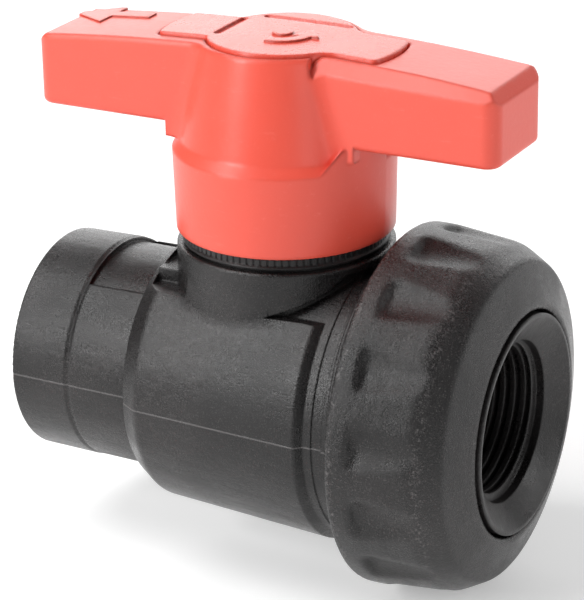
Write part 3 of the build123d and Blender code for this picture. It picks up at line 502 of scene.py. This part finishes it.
def helical_ridge(name, start, end, root, crest, pitch, lag, finish, body):
    """One thread ridge about the X axis, between two places along it."""
    work = bmesh.new()
    root_half, crest_half = 0.32 * pitch, 0.12 * pitch
    corners = [(-root_half, root), (-crest_half, crest), (crest_half, crest), (root_half, root)]
    section = [work.verts.new((start - pitch + lag + along, out, 0)) for along, out in corners]
    edges = [work.edges.new((section[i], section[(i + 1) % 4])) for i in range(4)]
    turns = int((end - start) / pitch) + 3
    climb = pitch / spin_steps_a_turn
    bmesh.ops.spin(work, geom=section + edges, cent=(0, 0, 0), axis=(1, 0, 0), dvec=(climb, 0, 0),
                   angle=2 * pi * turns, steps=spin_steps_a_turn * turns, use_merge=False)
    for place, way in ((start, -1), (end, 1)):
        geometry = work.verts[:] + work.edges[:] + work.faces[:]
        cut = bmesh.ops.bisect_plane(work, geom=geometry, plane_co=(place, 0, 0),
                                     plane_no=(way, 0, 0), clear_outer=True)
        rim = [item for item in cut["geom_cut"] if isinstance(item, bmesh.types.BMEdge)]
        bmesh.ops.holes_fill(work, edges=rim, sides=0)
    return make_piece(name, work, finish, body)


male_ridge = helical_ridge("union_thread_male", body_high.x - spigot_thread_reach,
                           body_high.x - spigot_end_bare, thread_root - root_sink, thread_crest,
                           union_pitch, 0.0, body_finish, "casing")
female_ridge = helical_ridge("union_thread_female", nut_low.x + nut_mouth_bare,
                             body_high.x - nut_thread_short, thread_crest + nut_root_gap,
                             thread_root + nut_crest_gap, union_pitch, union_pitch / 2,
                             nut_finish, "union_nut")
soft_nut = make_piece("union_nut_soft", nut_work, nut_finish, "union_nut")
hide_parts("union_nut")
print("thread ridges:", len(male_ridge.data.polygons), len(female_ridge.data.polygons))

# %% [markdown]
# ## Floor, light and camera
#
# A pale floor and big soft lights suit black plastic: a dark gloss shows only what it reflects,
# so the lights are white panels that leave long, soft highlights. The widest stands at the
# back. One hangs high at the left and brightens the handle and the upper side of the barrel, and
# one stands at the front left. A panel at the right, a little to the back, lights the nut's rim,
# and a weak one fills the front right. The white studio lifts what they all miss.

# %% Floor
floor_gap = 0.2 * MM
floor_size = 6.0
floor_height = nut_low.z - floor_gap
floor_work = bmesh.new()
bmesh.ops.create_grid(floor_work, x_segments=2, y_segments=2, size=floor_size)
bmesh.ops.translate(floor_work, verts=floor_work.verts, vec=(0, 0, floor_height))
floor_mesh = bpy.data.meshes.new("floor")
floor_work.to_mesh(floor_mesh)
floor_work.free()
floor = bpy.data.objects.new("floor", floor_mesh)
bpy.context.scene.collection.objects.link(floor)
floor_finish = Finish("floor pale", Roughness=0.9, Emission_Color=(1, 1, 1, 1), Emission_Strength=0.30)
floor_tone = floor_finish.noise(14, detail=3.0)
floor_finish.set("Base Color", floor_finish.blend(floor_tone, (0.86, 0.86, 0.86), (0.88, 0.88, 0.88)))
floor_mesh.materials.append(floor_finish.material)
print("floor at", round(floor_height / MM, 1), "mm")

# %% Camera
azimuth, elevation, roll = radians(28.504), radians(21.962), radians(-1.06)
distance = 579.4 * MM
aim_right = 0.84 * MM
aim_up = 16.26 * MM
focal_length = 165.8
sensor_height = 36
back = Vector((sin(azimuth) * cos(elevation), -cos(azimuth) * cos(elevation), sin(elevation)))
level = Vector((cos(azimuth), sin(azimuth), 0))
upward = back.cross(level)
aim = level * aim_right + upward * aim_up
right = level * cos(roll) + upward * sin(roll)
top = upward * cos(roll) - level * sin(roll)
lens = bpy.data.cameras.new("camera")
lens.sensor_fit = "VERTICAL"
lens.sensor_height = sensor_height
lens.lens = focal_length
lens.clip_start = 0.01
camera = bpy.data.objects.new("camera", lens)
bpy.context.scene.collection.objects.link(camera)
turned = Matrix((right, top, back)).transposed().to_4x4()
camera.matrix_world = Matrix.Translation(aim + back * distance) @ turned
bpy.context.scene.camera = camera
print("camera at", [round(part, 3) for part in camera.location])


# %% Lights
def panel(name, place, width, height, watts, target):
    """A soft white rectangular light that faces a target."""
    light = bpy.data.lights.new(name, "AREA")
    light.shape = "RECTANGLE"
    light.size, light.size_y = width, height
    light.energy = watts
    holder = bpy.data.objects.new(name, light)
    bpy.context.scene.collection.objects.link(holder)
    way = Vector(place) - Vector(target)
    facing = way.to_track_quat("Z", "Y").to_matrix().to_4x4()
    holder.matrix_world = Matrix.Translation(place) @ facing


lit_point = (0, 0, 0.02)
panels = [  # name, place, width, height, watts
    ("overhead left", (-0.34, -0.20, 0.70), 0.36, 0.50, 3.6),
    ("back wall", (-0.45, 1.15, 0.42), 1.6, 0.7, 8.8),
    ("front left", (-0.45, -0.75, 0.42), 0.24, 0.45, 5.8),
    ("right rim", (0.80, 0.35, 0.30), 0.4, 0.6, 2.2),
    ("front right", (0.75, -0.55, 0.12), 0.25, 0.55, 0.9),
]
for settings in panels:
    panel(*settings, lit_point)

studio_strength = 0.22
world = bpy.data.worlds.new("studio")
bpy.context.scene.world = world
world.use_nodes = True
backdrop = world.node_tree.nodes["Background"]
backdrop.inputs["Color"].default_value = (1, 1, 1, 1)
backdrop.inputs["Strength"].default_value = studio_strength
bpy.context.scene.view_settings.view_transform = "Standard"
print("lights:", len(panels), "panels and the studio")
